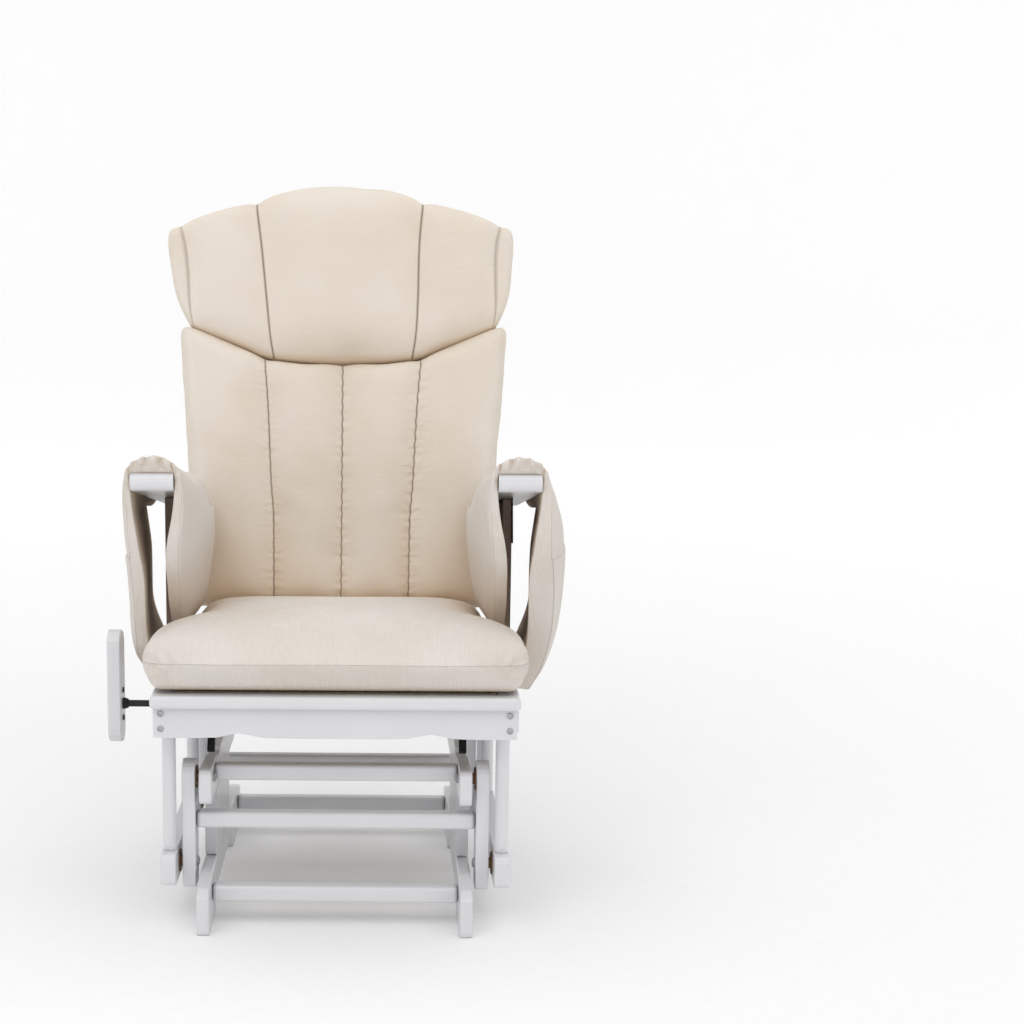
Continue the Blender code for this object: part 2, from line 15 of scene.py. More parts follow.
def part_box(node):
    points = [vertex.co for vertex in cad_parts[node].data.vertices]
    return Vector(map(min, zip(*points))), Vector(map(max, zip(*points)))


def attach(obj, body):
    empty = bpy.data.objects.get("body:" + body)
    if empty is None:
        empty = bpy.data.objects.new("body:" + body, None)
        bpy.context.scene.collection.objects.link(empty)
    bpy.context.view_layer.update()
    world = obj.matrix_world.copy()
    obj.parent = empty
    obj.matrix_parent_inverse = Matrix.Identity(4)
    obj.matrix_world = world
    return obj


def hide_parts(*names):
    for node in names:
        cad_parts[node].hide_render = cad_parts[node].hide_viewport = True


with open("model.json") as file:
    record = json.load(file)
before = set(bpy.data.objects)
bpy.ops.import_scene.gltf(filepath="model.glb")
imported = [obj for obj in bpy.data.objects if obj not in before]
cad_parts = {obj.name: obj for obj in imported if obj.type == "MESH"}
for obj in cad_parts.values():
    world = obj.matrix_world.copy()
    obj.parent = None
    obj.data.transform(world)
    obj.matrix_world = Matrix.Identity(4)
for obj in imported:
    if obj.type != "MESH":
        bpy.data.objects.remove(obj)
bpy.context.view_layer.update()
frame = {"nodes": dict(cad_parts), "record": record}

# The part's plan has its own origin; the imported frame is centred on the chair's footprint.
PLAN_TO_ORIGIN_Y = -0.058
PLAN = Matrix.Translation((0.0, PLAN_TO_ORIGIN_Y, 0.0))

# The back leans; its cushions are drawn upright, with z along the stiles and y through the back.
BACK_FOOT_Y, BACK_FOOT_Z = 0.222, 0.395
BACK_LEAN = math.radians(-16)
BACK_FRAME = Matrix.Translation(
    (0.0, BACK_FOOT_Y + PLAN_TO_ORIGIN_Y, BACK_FOOT_Z)
) @ Matrix.Rotation(BACK_LEAN, 4, "X")


# ---------------------------------------------------------------- camera, light, floor

SENSOR_MM, LENS_MM = 36.0, 58.7109375
CAMERA_SHIFT = 0.1645, 0.0518
CAMERA_PLACE = (0.0513, -2.608, 0.867)
CAMERA_YAW, CAMERA_DOWN, CAMERA_ROLL = 1.005, 8.5, 0.148  # degrees

WORLD_STRENGTH = 0.17
LIGHTS = (  # name, location, target, side, watts
    ("overhead", (0.0, -1.2, 6.0), (0.0, -1.2, 0.0), 12.0, 590),
    ("key", (-1.2, -2.2, 2.6), (0.0, 0.0, 0.7), 1.4, 9),
    ("fill", (2.0, -1.8, 1.3), (0.0, 0.0, 0.5), 1.8, 2),
)

# (radius, height) of the paper: flat under the chair, then a curve up all round.
SWEEP = [
    (0.0, 0.0), (6.0, 0.0), (7.6, 0.15), (9.0, 0.7), (10.0, 1.8), (10.6, 3.2), (10.8, 5.0),
]
GLOW_FROM, GLOW_TO = 1.0, 6.0
GLOW_NEAR, GLOW_FAR = 0.18, 0.48


def make_camera():
    data = bpy.data.cameras.new("camera")
    data.sensor_width = SENSOR_MM
    data.lens = LENS_MM
    data.shift_x, data.shift_y = CAMERA_SHIFT
    camera = bpy.data.objects.new("camera", data)
    bpy.context.scene.collection.objects.link(camera)
    turn = Matrix.Rotation(math.radians(CAMERA_YAW), 4, "Z")
    tilt = Matrix.Rotation(math.radians(90 - CAMERA_DOWN), 4, "X")
    roll = Matrix.Rotation(math.radians(CAMERA_ROLL), 4, "Z")
    camera.matrix_world = Matrix.Translation(CAMERA_PLACE) @ turn @ tilt @ roll
    bpy.context.scene.camera = camera


def area_light(name, location, target, size, power):
    data = bpy.data.lights.new(name, "AREA")
    data.shape = "SQUARE"
    data.size, data.energy = size, power
    light = bpy.data.objects.new(name, data)
    bpy.context.scene.collection.objects.link(light)
    light.location = location
    towards = Vector(target) - Vector(location)
    light.rotation_euler = towards.to_track_quat("-Z", "Y").to_euler()


def make_studio():
    world = bpy.data.worlds.new("studio")
    world.use_nodes = True
    background = world.node_tree.nodes["Background"]
    background.inputs["Color"].default_value = (1.0, 1.0, 1.0, 1.0)
    background.inputs["Strength"].default_value = WORLD_STRENGTH
    bpy.context.scene.world = world
    for light in LIGHTS:
        area_light(*light)
    make_floor()


def make_floor():
    """Pale paper with a weak light of its own, which grows with distance and hides the horizon."""
    paper = Shader("floor_paper", roughness=0.85, emission_color=(1.0, 1.0, 1.0, 1.0))
    away = paper.tree.nodes.new("ShaderNodeVectorMath")
    away.operation = "LENGTH"
    paper.link(paper.place, away.inputs[0])
    glow = paper.ramp(away.outputs["Value"], GLOW_FROM, GLOW_TO, GLOW_NEAR, GLOW_FAR)
    paper.link(glow, paper.base.inputs["Emission Strength"])
    grain = paper.node("ShaderNodeTexNoise", Scale=40.0, Detail=3.0)
    paper.mix_color((0.71, 0.71, 0.71), (0.74, 0.74, 0.74), grain.outputs["Fac"], to_base=True)
    sweep = lathe_mesh("floor", SWEEP, [Matrix.Identity(4)], 96, capped=False)
    sweep.shade_smooth()
    floor = bpy.data.objects.new("floor", sweep)
    bpy.context.scene.collection.objects.link(floor)
    floor.data.materials.append(paper.material)


def lathe_mesh(name, profile, matrices, sides, capped=True):
    """One mesh of turned shapes, each a closed body where `capped`.

    Profile points are (radius, height).
    """
    shape = bmesh.new()
    for matrix in matrices:
        rings = []
        for radius, height in profile:
            around = [2 * math.pi * i / sides for i in range(sides)]
            ring = [Vector((radius * math.cos(t), radius * math.sin(t), height)) for t in around]
            rings.append([shape.verts.new(matrix @ point) for point in ring])
        for low, high in zip(rings, rings[1:]):
            for i in range(sides):
                shape.faces.new((low[i], low[(i + 1) % sides], high[(i + 1) % sides], high[i]))
        if capped:
            shape.faces.new(rings[-1])
            shape.faces.new(reversed(rings[0]))
    bmesh.ops.remove_doubles(shape, verts=shape.verts, dist=1e-6)
    bmesh.ops.recalc_face_normals(shape, faces=shape.faces)
    mesh = bpy.data.meshes.new(name)
    shape.to_mesh(mesh)
    shape.free()
    return mesh


# ---------------------------------------------------------------- materials


class Shader:
    """A node material under construction.

    Constants are set on the Principled shader's own sockets.
    """

    def __init__(self, name, **constants):
        self.material = bpy.data.materials.new(name)
        self.material.use_nodes = True
        self.tree = self.material.node_tree
        self.base = self.tree.nodes["Principled BSDF"]
        for key, value in constants.items():
            self.base.inputs[key.replace("_", " ").title()].default_value = value
        self.place = self.tree.nodes.new("ShaderNodeTexCoord").outputs["Object"]

    def link(self, value, socket):
        if isinstance(value, bpy.types.NodeSocket):
            self.tree.links.new(value, socket)
        else:
            socket.default_value = value

    def node(self, kind, **inputs):
        made = self.tree.nodes.new(kind)
        if "Vector" in made.inputs and kind.startswith("ShaderNodeTex"):
            self.tree.links.new(self.place, made.inputs["Vector"])
        for key, value in inputs.items():
            self.link(value, made.inputs[key.replace("_", " ")])
        return made

    def math(self, operation, a, b=0.0):
        made = self.tree.nodes.new("ShaderNodeMath")
        made.operation = operation
        self.link(a, made.inputs[0])
        self.link(b, made.inputs[1])
        return made.outputs[0]

    def scaled_place(self, scale):
        made = self.tree.nodes.new("ShaderNodeVectorMath")
        made.operation = "MULTIPLY"
        self.tree.links.new(self.place, made.inputs[0])
        made.inputs[1].default_value = scale
        return made.outputs[0]

    def ramp(self, value, low, high, start=0.0, end=1.0):
        made = self.tree.nodes.new("ShaderNodeMapRange")
        made.clamp = True
        self.link(value, made.inputs["Value"])
        ends = {"From Min": low, "From Max": high, "To Min": start, "To Max": end}
        for key, number in ends.items():
            made.inputs[key].default_value = number
        return made.outputs["Result"]

    def mix_color(self, a, b, amount, to_base=False):
        made = self.tree.nodes.new("ShaderNodeMix")
        made.data_type = "RGBA"
        colors = [socket for socket in made.inputs if socket.type == "RGBA"]
        self.link(amount, made.inputs[0])
        for socket, value in zip(colors, (a, b)):
            self.link(value if isinstance(value, bpy.types.NodeSocket) else (*value, 1.0), socket)
        result = [socket for socket in made.outputs if socket.type == "RGBA"][0]
        if to_base:
            self.tree.links.new(result, self.base.inputs["Base Color"])
        return result

    def bump(self, height, strength, distance):
        made = self.tree.nodes.new("ShaderNodeBump")
        made.inputs["Strength"].default_value = strength
        made.inputs["Distance"].default_value = distance
        self.tree.links.new(height, made.inputs["Height"])
        previous = self.base.inputs["Normal"]
        if previous.is_linked:
            self.tree.links.new(previous.links[0].from_socket, made.inputs["Normal"])
        self.tree.links.new(made.outputs["Normal"], previous)

    def attribute(self, name):
        made = self.tree.nodes.new("ShaderNodeAttribute")
        made.attribute_name = name
        return made.outputs["Fac"]


def painted_shade_mask(shader, distance):
    """Mask for painted shade: 1 in the open, towards 0 in corners and joints."""
    made = shader.tree.nodes.new("ShaderNodeAmbientOcclusion")
    made.inputs["Distance"].default_value = distance
    made.samples = 8
    return made.outputs["AO"]


def paint_material():
    paint = Shader("white_paint", roughness=0.34, coat_weight=0.15, coat_roughness=0.25)
    clouds = paint.node("ShaderNodeTexNoise", Scale=9.0, Detail=2.0)
    grain = paint.node("ShaderNodeTexNoise", Scale=1.0, Detail=4.0)
    paint.tree.links.new(paint.scaled_place((420.0, 16.0, 420.0)), grain.inputs["Vector"])
    tint = paint.mix_color((0.64, 0.64, 0.665), (0.68, 0.68, 0.70), clouds.outputs["Fac"])
    # Painted shade: the paint turns grey in corners and joints, where shade falls.
    joint_shade = paint.ramp(painted_shade_mask(paint, 0.012), 0.25, 0.85)
    paint.mix_color((0.45, 0.45, 0.47), tint, joint_shade, to_base=True)
    gloss = paint.ramp(clouds.outputs["Fac"], 0.3, 0.7, 0.30, 0.42)
    paint.link(gloss, paint.base.inputs["Roughness"])
    paint.bump(grain.outputs["Fac"], 0.10, 0.0006)
    return paint.material


def board_material(name, dark, light):
    board = Shader(name, roughness=0.55)
    streaks = board.node("ShaderNodeTexNoise", Scale=1.0, Detail=6.0, Roughness=0.65)
    board.tree.links.new(board.scaled_place((240.0, 14.0, 240.0)), streaks.inputs["Vector"])
    board.mix_color(dark, light, board.ramp(streaks.outputs["Fac"], 0.3, 0.7), to_base=True)
    board.bump(streaks.outputs["Fac"], 0.25, 0.0008)
    return board.material


def metal_material(name, dark, light, roughness, metallic):
    metal = Shader(name, roughness=roughness, metallic=metallic)
    spots = metal.node("ShaderNodeTexNoise", Scale=260.0, Detail=4.0)
    metal.mix_color(dark, light, metal.ramp(spots.outputs["Fac"], 0.35, 0.65), to_base=True)
    gloss = metal.ramp(spots.outputs["Fac"], 0.3, 0.7, roughness - 0.08, roughness + 0.12)
    metal.link(gloss, metal.base.inputs["Roughness"])
    metal.bump(spots.outputs["Fac"], 0.15, 0.0003)
    return metal.material


def fabric_material(name, color, rib, rib_depth):
    """Woven cover: ribs run up and front to back, `rib` apart, over a fine cross weave.

    The points' seam weights paint dark shade into the sewn grooves, and their pucker weights
    wrinkle the cloth. Hollows and corners get painted warm shade.
    """
    cloth = Shader(name, roughness=0.93, sheen_weight=0.18, sheen_roughness=0.45)
    split = cloth.tree.nodes.new("ShaderNodeSeparateXYZ")
    cloth.tree.links.new(cloth.place, split.inputs[0])
    facing = cloth.tree.nodes.new("ShaderNodeTexCoord").outputs["Normal"]
    normal = cloth.tree.nodes.new("ShaderNodeSeparateXYZ")
    cloth.tree.links.new(facing, normal.inputs[0])
    slub = cloth.node("ShaderNodeTexNoise", Scale=55.0, Detail=3.0)
    wander = cloth.math("MULTIPLY", slub.outputs["Fac"], 2.2)
    sideways = cloth.ramp(cloth.math("ABSOLUTE", normal.outputs["X"]), 0.45, 0.75)

    def threads(axis, pitch):
        turns = cloth.math("MULTIPLY", split.outputs[axis], 2 * math.pi / pitch)
        return cloth.math("SINE", cloth.math("ADD", turns, wander))

    def blended(a, b, amount):
        kept = cloth.math("MULTIPLY", a, cloth.math("SUBTRACT", 1.0, amount))
        return cloth.math("ADD", kept, cloth.math("MULTIPLY", b, amount))

    ribs = blended(threads("X", rib), threads("Y", rib), sideways)
    upright = cloth.ramp(cloth.math("ABSOLUTE", normal.outputs["Z"]), 0.6, 0.85)
    fine = rib * 0.62
    cross = blended(threads("Z", fine), threads("Y", fine), upright)
    weave = cloth.math("ADD", ribs, cloth.math("MULTIPLY", cross, 0.55))
    warm = tuple(c * k for c, k in zip(color, (0.93, 0.90, 0.85)))
    clouds = cloth.node("ShaderNodeTexNoise", Scale=7.0, Detail=2.0)
    tint = cloth.mix_color(warm, color, cloth.ramp(clouds.outputs["Fac"], 0.35, 0.65))
    darker = tuple(c * 0.84 for c in color)
    threaded = cloth.mix_color(darker, tint, cloth.ramp(weave, -1.2, 0.4))
    streaks = cloth.node("ShaderNodeTexNoise", Scale=1.0, Detail=3.0)
    cloth.tree.links.new(cloth.scaled_place((60.0, 60.0, 900.0)), streaks.inputs["Vector"])
    pale = tuple(min(1.0, c * 1.05) for c in color)
    slubs = cloth.ramp(streaks.outputs["Fac"], 0.55, 0.75, 0.0, 0.5)
    woven = cloth.mix_color(threaded, pale, slubs)
    seam_shade = cloth.attribute("seam_shade")
    # Painted shade: warm, darker cloth in hollows and corners, standing in for shade and light
    # bounced between the cushions.
    hollow_shade = tuple(c * k for c, k in zip(color, (0.93, 0.82, 0.68)))
    weave_and_shade = cloth.mix_color(hollow_shade, woven, cloth.ramp(painted_shade_mask(cloth, 0.22), 0.15, 0.75))
    # Painted shade: dark brown along the sewn grooves, where the groove's shade falls.
    sewn = tuple(c * k for c, k in zip(color, (0.26, 0.20, 0.15)))
    cloth.mix_color(weave_and_shade, sewn, cloth.ramp(seam_shade, 0.50, 1.0), to_base=True)
    pucker = cloth.node("ShaderNodeTexNoise", Scale=1.0, Detail=2.0)
    cloth.tree.links.new(cloth.scaled_place((30.0, 30.0, 130.0)), pucker.inputs["Vector"])
    near_seam = cloth.math("MULTIPLY", pucker.outputs["Fac"], cloth.attribute("pucker"))
    cloth.bump(near_seam, 0.9, 0.004)
    folds = cloth.node("ShaderNodeTexNoise", Scale=16.0, Detail=3.0)
    cloth.bump(folds.outputs["Fac"], 0.35, 0.0022)
    cloth.bump(weave, 0.55, rib_depth)
    return cloth.material


# Slot: dark and light colour; for metals also roughness and metallic.
BOARDS = {
    # Painted shade: the brown board's dark browns copy the shaded cloth seen inside the arm pad
    # sleeves.
    "brown_board": ((0.25, 0.185, 0.145), (0.36, 0.280, 0.225)),
    "board": ((0.33, 0.24, 0.15), (0.50, 0.38, 0.25)),
}
METALS = {
    "steel": ((0.34, 0.34, 0.35), (0.52, 0.52, 0.53), 0.36, 1.0),
    "bearing": ((0.20, 0.115, 0.06), (0.33, 0.20, 0.11), 0.46, 0.75),
    "black_steel": ((0.012, 0.012, 0.014), (0.03, 0.03, 0.032), 0.42, 0.6),
}


def dress_frame():
    """Gives every CAD node its procedural material, by the record's slots.

    The soft solids get none, because sewn covers stand in for them.
    """
    finishes = {"white_paint": paint_material(), "cream_fabric": None}
    for slot, colors in BOARDS.items():
        finishes[slot] = board_material(slot, *colors)
    for slot, look in METALS.items():
        finishes[slot] = metal_material(slot, *look)
    slots = {part["node"]: part["material_slot"] for part in frame["record"]["subparts"]}
    for name, obj in frame["nodes"].items():
        finish = finishes[slots[name]]
        if finish is not None:
            obj.data.materials.clear()
            obj.data.materials.append(finish)
    return finishes


# ---------------------------------------------------------------- soft pieces

SIM_FRAMES = 20
SAME = 1e-6  # two shares of a width nearer than this are the same grid line


def knots(*stops):
    """Grid lines between stops given as (parameter, number of steps to the next stop)."""
    lines = []
    for (start, steps), (end, _) in zip(stops, stops[1:]):
        lines += [start + (end - start) * i / steps for i in range(steps)]
    return lines + [stops[-1][0]]


def curve(points):
    """A smooth curve through (position, value) pairs, with no overshoot between them."""
    xs, ys = (np.array(values, float) for values in zip(*sorted(points)))
    steps, rises = np.diff(xs), np.diff(ys) / np.diff(xs)
    before, after = rises[:-1], rises[1:]
    inner = np.where(after * before > 0, 2 * after * before / (after + before + 1e-12), 0.0)
    slopes = np.concatenate([rises[:1], inner, rises[-1:]])

    def value(t):
        t = min(max(t, xs[0]), xs[-1])
        i = min(int(np.searchsorted(xs, t, side="right")) - 1, len(steps) - 1)
        u = (t - xs[i]) / steps[i]
        rise = steps[i] * (u * (1 - u) ** 2 * slopes[i] - u * u * (1 - u) * slopes[i + 1])
        return float(ys[i] * (1 + 2 * u) * (1 - u) ** 2 + ys[i + 1] * u * u * (3 - 2 * u) + rise)

    return value


def rounding(distance, radius):
    """How far a rounded edge falls away at a distance from the edge."""
    short = max(0.0, radius - distance)
    return radius - math.sqrt(max(0.0, radius * radius - short * short))


def smooth(t):
    t = min(1.0, max(0.0, t))
    return t * t * (3 - 2 * t)


class Pillow:
    """A closed quad box over three sets of grid lines; shape(a, b, c) gives each surface point.

    c is 0 on the side that is seen and 1 on the side that rests on the frame.
    """

    def __init__(self, name, a_lines, b_lines, c_lines, shape, matrix):
        self.lines = (a_lines, b_lines, c_lines)
        self.index, self.keys, self.points = {}, [], []
        self.shape = shape
        na, nb, nc = (len(lines) - 1 for lines in self.lines)
        faces = []

        def quad(*keys):
            faces.append(tuple(self.corner(key) for key in keys))

        for i in range(na):
            for j in range(nb):
                quad((i, j, 0), (i + 1, j, 0), (i + 1, j + 1, 0), (i, j + 1, 0))
                quad((i, j, nc), (i, j + 1, nc), (i + 1, j + 1, nc), (i + 1, j, nc))
            for k in range(nc):
                quad((i, 0, k), (i, 0, k + 1), (i + 1, 0, k + 1), (i + 1, 0, k))
                quad((i, nb, k), (i + 1, nb, k), (i + 1, nb, k + 1), (i, nb, k + 1))
        for j in range(nb):
            for k in range(nc):
                quad((0, j, k), (0, j + 1, k), (0, j + 1, k + 1), (0, j, k + 1))
                quad((na, j, k), (na, j, k + 1), (na, j + 1, k + 1), (na, j + 1, k))
        mesh = bpy.data.meshes.new(name)
        mesh.from_pydata([tuple(p) for p in self.points], [], faces)
        turned = bmesh.new()
        turned.from_mesh(mesh)
        bmesh.ops.recalc_face_normals(turned, faces=turned.faces)
        turned.to_mesh(mesh)
        turned.free()
        mesh.shade_smooth()
        self.obj = bpy.data.objects.new(name, mesh)
        self.obj.matrix_world = matrix
        bpy.context.scene.collection.objects.link(self.obj)

    def corner(self, key):
        if key not in self.index:
            self.index[key] = len(self.points)
            self.keys.append(key)
            self.points.append(self.shape(*(lines[i] for lines, i in zip(self.lines, key))))
        return self.index[key]

    def parameters(self):
        """(a, b, c) of each point, in the mesh's order."""
        return [tuple(lines[i] for lines, i in zip(self.lines, key)) for key in self.keys]

    def weights(self, rule):
        return np.array([rule(a, b, c) for a, b, c in self.parameters()])

    def inflate(self, held, cap, grow, pressure=4.0, soften=4):
        """Fills the cover by a cloth simulation under pressure.

        `held` gives each point's pin weight, `grow` is the cloth's slack, `cap` the furthest a
        point may move and `soften` the rounds of smoothing afterwards.
        """
        obj = self.obj
        rest = points_of(obj.data)
        pins = obj.vertex_groups.new(name="pins")
        for i, weight in enumerate(self.weights(held)):
            if weight > 0:
                pins.add([i], float(weight), "REPLACE")
        cloth = obj.modifiers.new("cloth", "CLOTH")
        settings = cloth.settings
        settings.quality = 6
        settings.mass = 0.25
        settings.tension_stiffness = settings.compression_stiffness = 18
        settings.shear_stiffness = 8
        settings.bending_stiffness = 0.4
        settings.air_damping = 2.0
        settings.use_pressure = True
        settings.uniform_pressure_force = pressure
        settings.shrink_min = -grow
        settings.vertex_group_mass = "pins"
        settings.pin_stiffness = 1.0
        settings.effector_weights.gravity = 0.0
        cloth.point_cache.frame_start, cloth.point_cache.frame_end = 1, SIM_FRAMES
        scene = bpy.context.scene
        for number in range(1, SIM_FRAMES + 1):
            scene.frame_set(number)
        graph = bpy.context.evaluated_depsgraph_get()
        moved = points_of(obj.evaluated_get(graph).to_mesh())
        obj.modifiers.remove(cloth)
        obj.vertex_groups.clear()
        scene.frame_set(1)
        step = moved - rest
        length = np.linalg.norm(step, axis=1)
        limit = cap * np.tanh(length / cap)
        step *= (limit / np.maximum(length, 1e-9))[:, None]
        set_points(obj.data, rest + step)
        relax(obj.data, soften, self.weights(held) > 0.5)

    def finish(self, material, seam_shade, slot_name, fill, pucker):
        """Stores the painted seam shade and the puckers as point weights, subdivides once and
        hands the piece over to the seat.
        """
        obj = self.obj
        for name, rule in (("seam_shade", seam_shade), ("pucker", pucker)):
            layer = obj.data.attributes.new(name, "FLOAT", "POINT")
            layer.data.foreach_set("value", self.weights(rule).astype(np.float32))
        obj.data.materials.append(material)
        finer = obj.modifiers.new("finer", "SUBSURF")
        finer.levels = finer.render_levels = 1
        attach(obj, "seat")
        return obj


def points_of(mesh):
    points = np.empty(len(mesh.vertices) * 3, np.float32)
    mesh.vertices.foreach_get("co", points)
    return points.reshape(-1, 3).astype(float)


def set_points(mesh, points):
    mesh.vertices.foreach_set("co", points.astype(np.float32).ravel())
    mesh.update()


def relax(mesh, rounds, held):
    """Moves each point half way to the middle of its neighbours, and leaves held points alone."""
    points = points_of(mesh)
    edges = np.empty(len(mesh.edges) * 2, np.int32)
    mesh.edges.foreach_get("vertices", edges)
    edges = edges.reshape(-1, 2)
    count = np.bincount(edges.ravel(), minlength=len(points))[:, None]
    for _ in range(rounds):
        total = np.zeros_like(points)
        np.add.at(total, edges[:, 0], points[edges[:, 1]])
        np.add.at(total, edges[:, 1], points[edges[:, 0]])
        goal = points + 0.5 * (total / count - points)
        points = np.where(held[:, None], points, goal)
    set_points(mesh, points)


def near(value, line, width):
    return math.exp(-((value - line) / width) ** 2)


def wave(along, pitch, phase=0.0):
    return math.sin(along * 2 * math.pi / pitch + phase)


SPLIT = 0.25  # share of the width at the outer sewn line of the head and back cushions
BACKING = 0.006  # how far the two back cushions stay off the slats


def panel_x(share, seam_x, side_x):
    """x at a share of the width, 0 at the side and 0.5 in the middle."""
    if share < SPLIT:
        return side_x + (seam_x - side_x) * share / SPLIT
    return seam_x * (0.5 - share) / (0.5 - SPLIT)


def make_head_cushion(fabric):
    """Three sewn panels in front and a flap that folds round each side."""
    thick, groove = 0.090, 0.009
    low, rise = 0.40, 0.25
    lean_left = 0.007
    outer_seam = curve([
        (0.445, 0.2500), (0.455, 0.2530), (0.491, 0.2570), (0.549, 0.2580), (0.592, 0.2615),
        (0.632, 0.2710),
    ])
    inner_seam = curve([
        (0.395, 0.1150), (0.433, 0.1215), (0.498, 0.1268), (0.586, 0.1325), (0.661, 0.1405),
    ])
    top = curve([
        (-0.06, 0.6955), (0.0, 0.6995), (0.06, 0.6955), (0.125, 0.6800), (0.145, 0.6735),
        (0.21, 0.6560), (0.272, 0.6330),
    ])
    bottom = curve([
        (-0.05, 0.3925), (0.0, 0.3915), (0.05, 0.3925), (0.115, 0.3985), (0.15, 0.4100),
        (0.21, 0.4335), (0.26, 0.4545),
    ])
    flap = curve([
        (0.0, 0.000), (0.12, 0.012), (0.42, 0.029), (0.75, 0.033), (0.92, 0.027), (1.0, 0.018),
    ])
    a_lines = knots((0.0, 3), (0.02, 15), (0.235, 3), (SPLIT, 3), (0.265, 34), (0.735, 3),
                    (1 - SPLIT, 3), (0.765, 15), (0.98, 3), (1.0, 0))
    b_lines = knots((0.0, 4), (0.04, 36), (0.96, 4), (1.0, 0))
    c_lines = knots((0.0, 3), (0.06, 12), (1.0, 0))

    def place(a, b):
        """x, height and share; the seams lean, so x and height are found in turn."""
        height = low + rise * b
        share = min(a, 1 - a)
        for _ in range(4):
            x = panel_x(share, inner_seam(height), outer_seam(height))
            height = bottom(x) + (top(x) - bottom(x)) * b
        return x, height, share

    def shape(a, b, c):
        x, height, share = place(a, b)
        edge_x, edge_b = share * 0.54, min(b * 0.26, (1 - b) * 0.28)
        depth = -thick + rounding(edge_x, 0.030) * 0.55 + rounding(edge_b, 0.036) * 0.75
        grooved = near(share, SPLIT, 0.022)
        step = (0.006 if share < SPLIT else 0.0) * smooth((SPLIT - share) / 0.03)
        depth += groove * grooved + step
        height -= 0.006 * near(share, SPLIT, 0.014) * smooth((b - 0.90) / 0.10)
        y = depth * (1 - c) - BACKING * c
        inward = 0.016 * max(0.0, c - 0.35)
        height += (inward if b == 0 else -inward if b == 1 else 0.0)
        if share == 0:
            x += flap(b) * math.sin(math.pi * min(1.0, 0.10 + c)) ** 0.7 if c > 0 else 0.0
        lean = lean_left * smooth((height - 0.42) / 0.24)
        return Vector(((-x if a < 0.5 else x) - lean, y, height))

    pillow = Pillow("head_cushion_cover", a_lines, b_lines, c_lines, shape, BACK_FRAME)

    def held(a, b, c):
        if c >= 0.85:
            return 1.0
        if c == 0 and (abs(a - SPLIT) < SAME or abs(a - 1 + SPLIT) < SAME):
            return 1.0
        return 0.9 if c == 0 and a in (0.0, 1.0) else 0.0

    # Painted shade weights: dark lines in the sewn grooves and along the side flaps' seams.
    def seam_shade(a, b, c):
        line = max(near(a, SPLIT, 0.006), near(a, 1 - SPLIT, 0.006)) if c == 0 else 0.0
        rim = near(min(a, 1 - a), 0.0, 0.008) * near(c, 0.0, 0.03)
        return max(line, 0.75 * rim)

    def pucker(a, b, c):
        line = max(near(a, SPLIT, 0.03), near(a, 1 - SPLIT, 0.03)) if c == 0 else 0.0
        return max(0.45 * line, 0.5 * near(min(a, 1 - a), 0.0, 0.05) * near(c, 0.0, 0.2))

    pillow.inflate(held, cap=0.018, grow=0.012, soften=10)
    cover = pillow.finish(fabric, seam_shade, "cream_fabric", 0.8, pucker)
    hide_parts("head_cushion")


def make_back_cushion(fabric):
    """Four sewn channels."""
    thick, groove = 0.086, 0.012
    low, rise = -0.014, 0.44
    side_edge = curve([
        (-0.02, 0.244), (0.0, 0.248), (0.23, 0.2540), (0.30, 0.2600), (0.37, 0.2650),
        (0.46, 0.2710),
    ])
    seams = curve([
        (-0.02, 0.1095), (0.0, 0.110), (0.124, 0.1120), (0.187, 0.1170), (0.317, 0.1240),
        (0.394, 0.1305),
    ])
    top = curve([
        (-0.05, 0.3895), (0.0, 0.3885), (0.05, 0.3895), (0.115, 0.3960), (0.15, 0.4070),
        (0.21, 0.4315), (0.272, 0.4600),
    ])
    a_lines = knots((0.0, 3), (0.02, 13), (0.238, 3), (SPLIT, 3), (0.262, 16), (0.488, 3),
                    (0.5, 3), (0.512, 16), (0.738, 3), (1 - SPLIT, 3), (0.762, 13), (0.98, 3),
                    (1.0, 0))
    b_lines = knots((0.0, 4), (0.03, 78), (1.0, 0))
    c_lines = knots((0.0, 12), (1.0, 0))
    lines = (SPLIT, 0.5, 1 - SPLIT)

    def shape(a, b, c):
        share = min(a, 1 - a)
        height = rise * b
        for _ in range(4):
            x = panel_x(share, seams(height), side_edge(height))
            height = low + (top(x) - low) * b
        edge_b = min(b, 1 - b) * 0.42
        depth = -thick + rounding(share * 0.52, 0.034) * 0.7 + rounding(edge_b, 0.030) * 0.6
        depth += groove * max(near(a, line, 0.022) for line in lines)
        bulge = 0.006 * math.sin(math.pi * c) if share == 0 else 0.0
        y = depth * (1 - c) - BACKING * c
        return Vector(((-x - bulge if a < 0.5 else x + bulge), y, height))

    pillow = Pillow("back_cushion_cover", a_lines, b_lines, c_lines, shape, BACK_FRAME)

    def held(a, b, c):
        sewn = c == 0 and any(abs(a - line) < SAME for line in lines)
        return 1.0 if c >= 0.85 or sewn else 0.0

    # Painted shade weights: dark lines in the three sewn grooves.
    def seam_shade(a, b, c):
        return max(near(a, line, 0.0046) for line in lines) if c == 0 else 0.0

    def pucker(a, b, c):
        return max(near(a, line, 0.030) for line in lines) if c == 0 else 0.0

    pillow.inflate(held, cap=0.022, grow=0.012, soften=8)
    stitch_pulls(pillow, lines)
    cover = pillow.finish(fabric, seam_shade, "cream_fabric", 0.7, pucker)
    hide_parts("back_cushion")


